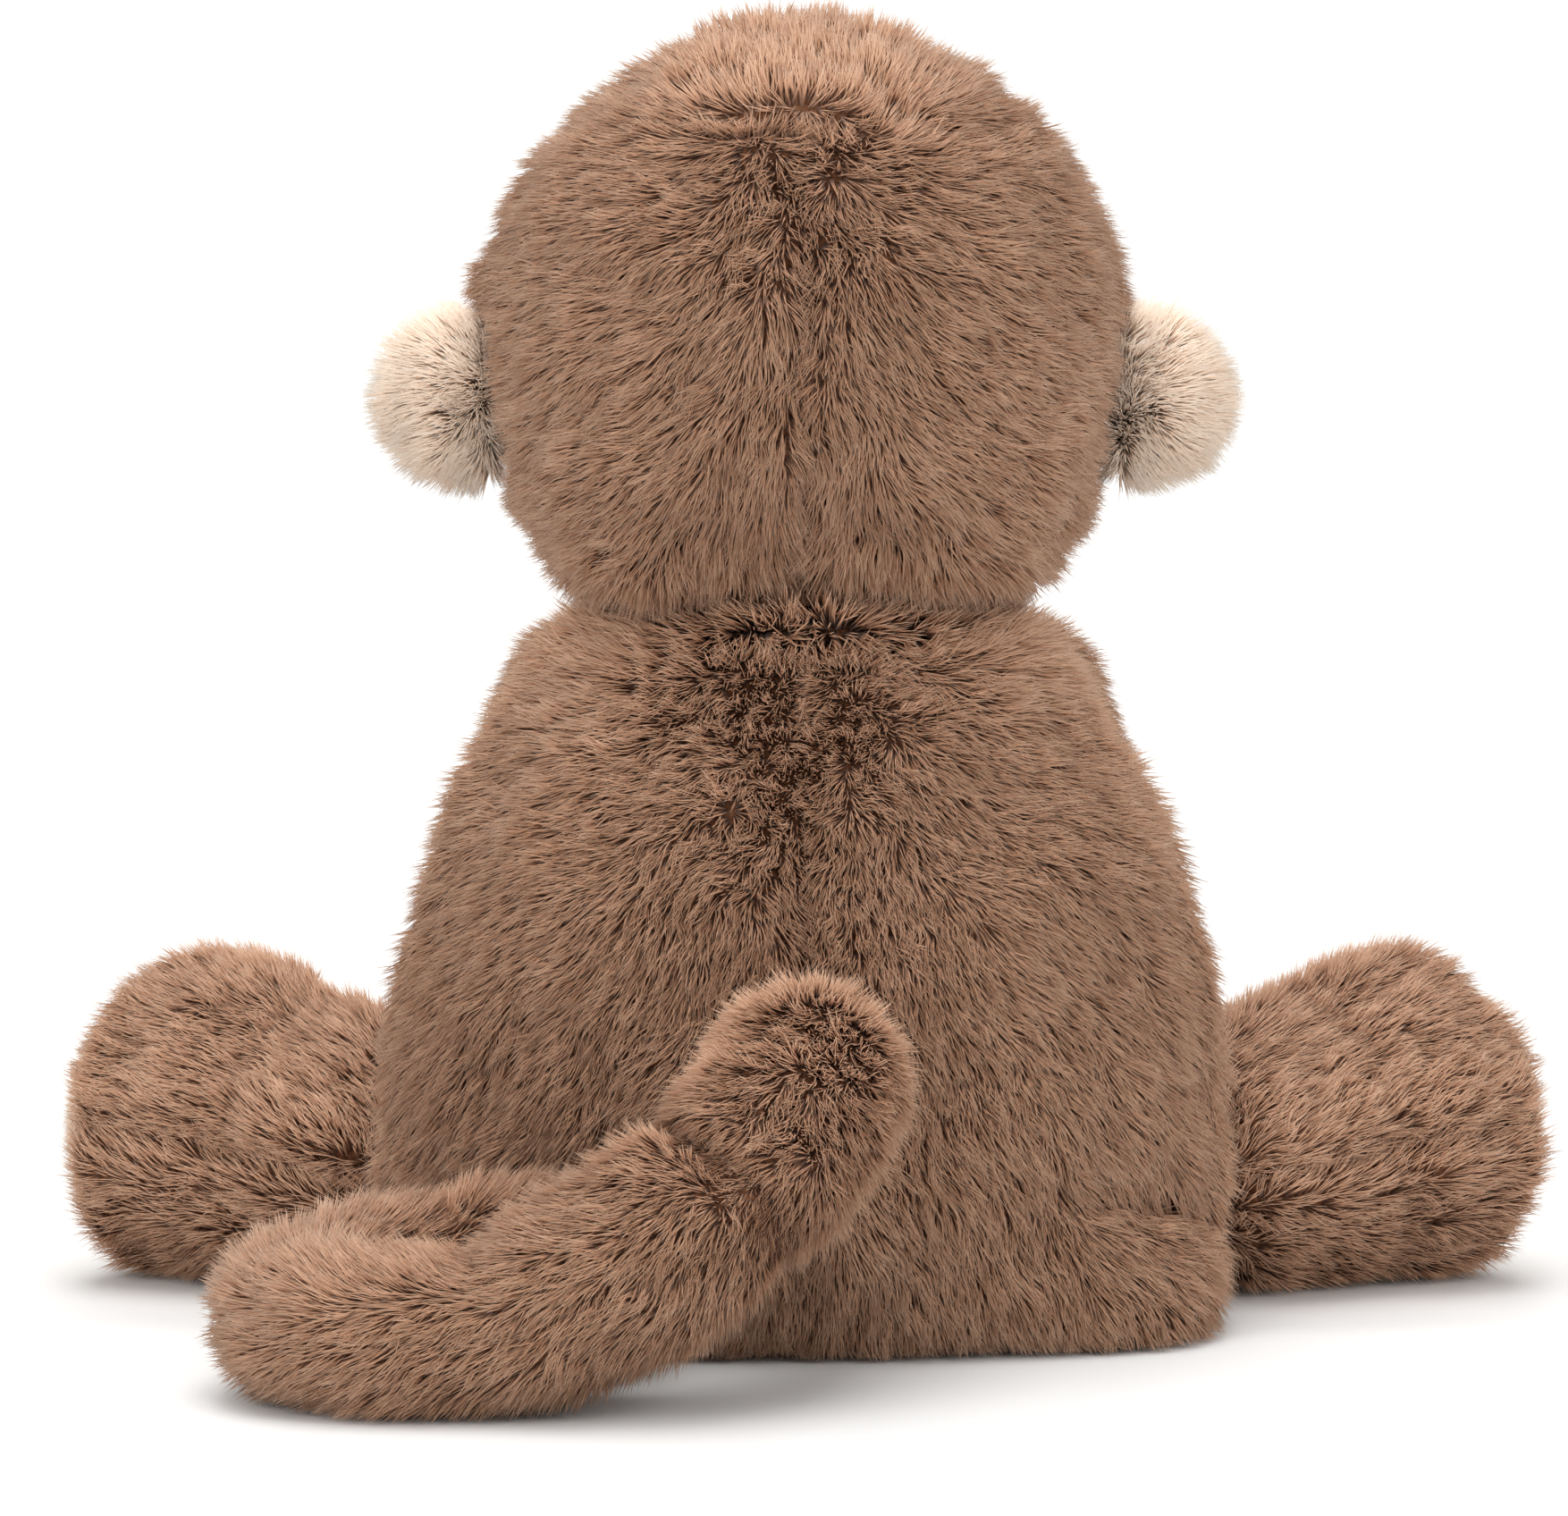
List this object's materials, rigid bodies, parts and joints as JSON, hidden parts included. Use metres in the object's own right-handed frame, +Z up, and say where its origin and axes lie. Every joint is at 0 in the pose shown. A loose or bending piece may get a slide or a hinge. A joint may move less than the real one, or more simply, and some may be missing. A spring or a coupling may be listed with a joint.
{
  "type": "stuffed monkey",
  "caption": "Seated plush monkey with round pale ears, big feet and a thick curled tail, sewn from fur fabric over stuffing, with posable head, arms, legs, ears and tail.",
  "frame": {"origin": "centre of the flat seat face on the floor, below the torso's own centre", "axes": "+Z up; the monkey faces -Y; +X is its left side, toward which the tail curls behind it"},
  "size_m": [0.2776, 0.1863, 0.236],
  "materials": {
    "back_left": "brown short-pile plush",
    "back_right": "brown short-pile plush",
    "belly_panel": "brown short-pile plush",
    "base_panel": "brown short-pile plush",
    "body_stuffing": "loose polyester fibre",
    "pellet_pouch": "woven cotton",
    "pellet_fill": "small plastic pellets",
    "neck_core": "loose polyester fibre",
    "head_crown": "brown short-pile plush",
    "head_back_left": "brown short-pile plush",
    "head_back_right": "brown short-pile plush",
    "face_panel": "pale long-pile plush",
    "muzzle": "pale long-pile plush",
    "nose": "dark brown embroidery thread",
    "mouth_stitch": "dark brown embroidery thread",
    "eye_left": "polished black bead",
    "eye_right": "polished black bead",
    "eye_washer_left": "moulded nylon",
    "eye_washer_right": "moulded nylon",
    "head_stuffing": "loose polyester fibre",
    "ear_left_back": "pale long-pile plush",
    "ear_left_front": "pale long-pile plush",
    "ear_right_back": "pale long-pile plush",
    "ear_right_front": "pale long-pile plush",
    "arm_left_outer": "brown short-pile plush",
    "arm_left_inner": "brown short-pile plush",
    "arm_left_stuffing": "loose polyester fibre",
    "arm_right_outer": "brown short-pile plush",
    "arm_right_inner": "brown short-pile plush",
    "arm_right_stuffing": "loose polyester fibre",
    "leg_left_upper": "brown short-pile plush",
    "leg_left_under": "brown short-pile plush",
    "leg_left_sole": "short-nap pale plush",
    "leg_left_stuffing": "loose polyester fibre",
    "leg_right_upper": "brown short-pile plush",
    "leg_right_under": "brown short-pile plush",
    "leg_right_sole": "short-nap pale plush",
    "leg_right_stuffing": "loose polyester fibre",
    "tail_root_upper": "brown short-pile plush",
    "tail_root_lower": "brown short-pile plush",
    "tail_root_stuffing": "loose polyester fibre",
    "tail_middle_upper": "brown short-pile plush",
    "tail_middle_lower": "brown short-pile plush",
    "tail_middle_stuffing": "loose polyester fibre",
    "tail_end_upper": "brown short-pile plush",
    "tail_end_lower": "brown short-pile plush",
    "tail_end_stuffing": "loose polyester fibre"
  },
  "bodies": {
    "torso": {"back_left": "back_left", "back_right": "back_right", "belly_panel": "belly_panel", "base_panel": "base_panel", "body_stuffing": "body_stuffing", "pellet_pouch": "pellet_pouch", "pellet_fill": "pellet_fill"},
    "neck": {"neck_core": "neck_core"},
    "head": {"head_crown": "head_crown", "head_back_left": "head_back_left", "head_back_right": "head_back_right", "face_panel": "face_panel", "muzzle": "muzzle", "nose": "nose", "mouth_stitch": "mouth_stitch", "eye_left": "eye_left", "eye_right": "eye_right", "eye_washer_left": "eye_washer_left", "eye_washer_right": "eye_washer_right", "head_stuffing": "head_stuffing"},
    "ear_left": {"ear_left_back": "ear_left_back", "ear_left_front": "ear_left_front"},
    "ear_right": {"ear_right_back": "ear_right_back", "ear_right_front": "ear_right_front"},
    "arm_left": {"arm_left_outer": "arm_left_outer", "arm_left_inner": "arm_left_inner", "arm_left_stuffing": "arm_left_stuffing"},
    "arm_right": {"arm_right_outer": "arm_right_outer", "arm_right_inner": "arm_right_inner", "arm_right_stuffing": "arm_right_stuffing"},
    "leg_left": {"leg_left_upper": "leg_left_upper", "leg_left_under": "leg_left_under", "leg_left_sole": "leg_left_sole", "leg_left_stuffing": "leg_left_stuffing"},
    "leg_right": {"leg_right_upper": "leg_right_upper", "leg_right_under": "leg_right_under", "leg_right_sole": "leg_right_sole", "leg_right_stuffing": "leg_right_stuffing"},
    "tail_root": {"tail_root_upper": "tail_root_upper", "tail_root_lower": "tail_root_lower", "tail_root_stuffing": "tail_root_stuffing"},
    "tail_middle": {"tail_middle_upper": "tail_middle_upper", "tail_middle_lower": "tail_middle_lower", "tail_middle_stuffing": "tail_middle_stuffing"},
    "tail_end": {"tail_end_upper": "tail_end_upper", "tail_end_lower": "tail_end_lower", "tail_end_stuffing": "tail_end_stuffing"}
  },
  "joints": [
    {"name": "neck_turn", "type": "hinge", "parent": "torso", "child": "neck", "pos_m": [0, -0.004, 0.136], "axis": [0, 0, 1], "range_deg": [-60, 60]},
    {"name": "head_nod", "type": "hinge", "parent": "neck", "child": "head", "pos_m": [0, -0.004, 0.136], "axis": [1, 0, 0], "range_deg": [-15, 15]},
    {"name": "ear_left_fold", "type": "hinge", "parent": "head", "child": "ear_left", "pos_m": [0.0566, -0.005, 0.169], "axis": [0, 0, 1], "range_deg": [-30, 30]},
    {"name": "ear_right_fold", "type": "hinge", "parent": "head", "child": "ear_right", "pos_m": [-0.0566, -0.005, 0.169], "axis": [0, 0, -1], "range_deg": [-30, 30]},
    {"name": "arm_left_swing", "type": "hinge", "parent": "torso", "child": "arm_left", "pos_m": [0.041, -0.041, 0.112], "axis": [-1, 0, 0], "range_deg": [-5, 80]},
    {"name": "arm_right_swing", "type": "hinge", "parent": "torso", "child": "arm_right", "pos_m": [-0.041, -0.041, 0.112], "axis": [-1, 0, 0], "range_deg": [-5, 80]},
    {"name": "leg_left_lift", "type": "hinge", "parent": "torso", "child": "leg_left", "pos_m": [0.086, -0.034, 0.026], "axis": [-0.5183, -0.8552, 0], "range_deg": [0, 30]},
    {"name": "leg_right_lift", "type": "hinge", "parent": "torso", "child": "leg_right", "pos_m": [-0.086, -0.034, 0.026], "axis": [-0.5183, 0.8552, 0], "range_deg": [0, 30]},
    {"name": "tail_swing", "type": "hinge", "parent": "torso", "child": "tail_root", "pos_m": [0, 0.0635, 0.052], "axis": [0, 0, 1], "range_deg": [0, 50]},
    {"name": "tail_bend", "type": "hinge", "parent": "tail_root", "child": "tail_middle", "pos_m": [0.04, 0.0905, 0.0205], "axis": [0, 0, 1], "range_deg": [0, 30]},
    {"name": "tail_curl", "type": "hinge", "parent": "tail_middle", "child": "tail_end", "pos_m": [0.062, 0.0542, 0.015], "axis": [0, 0, 1], "range_deg": [-15, 6]}
  ]
}
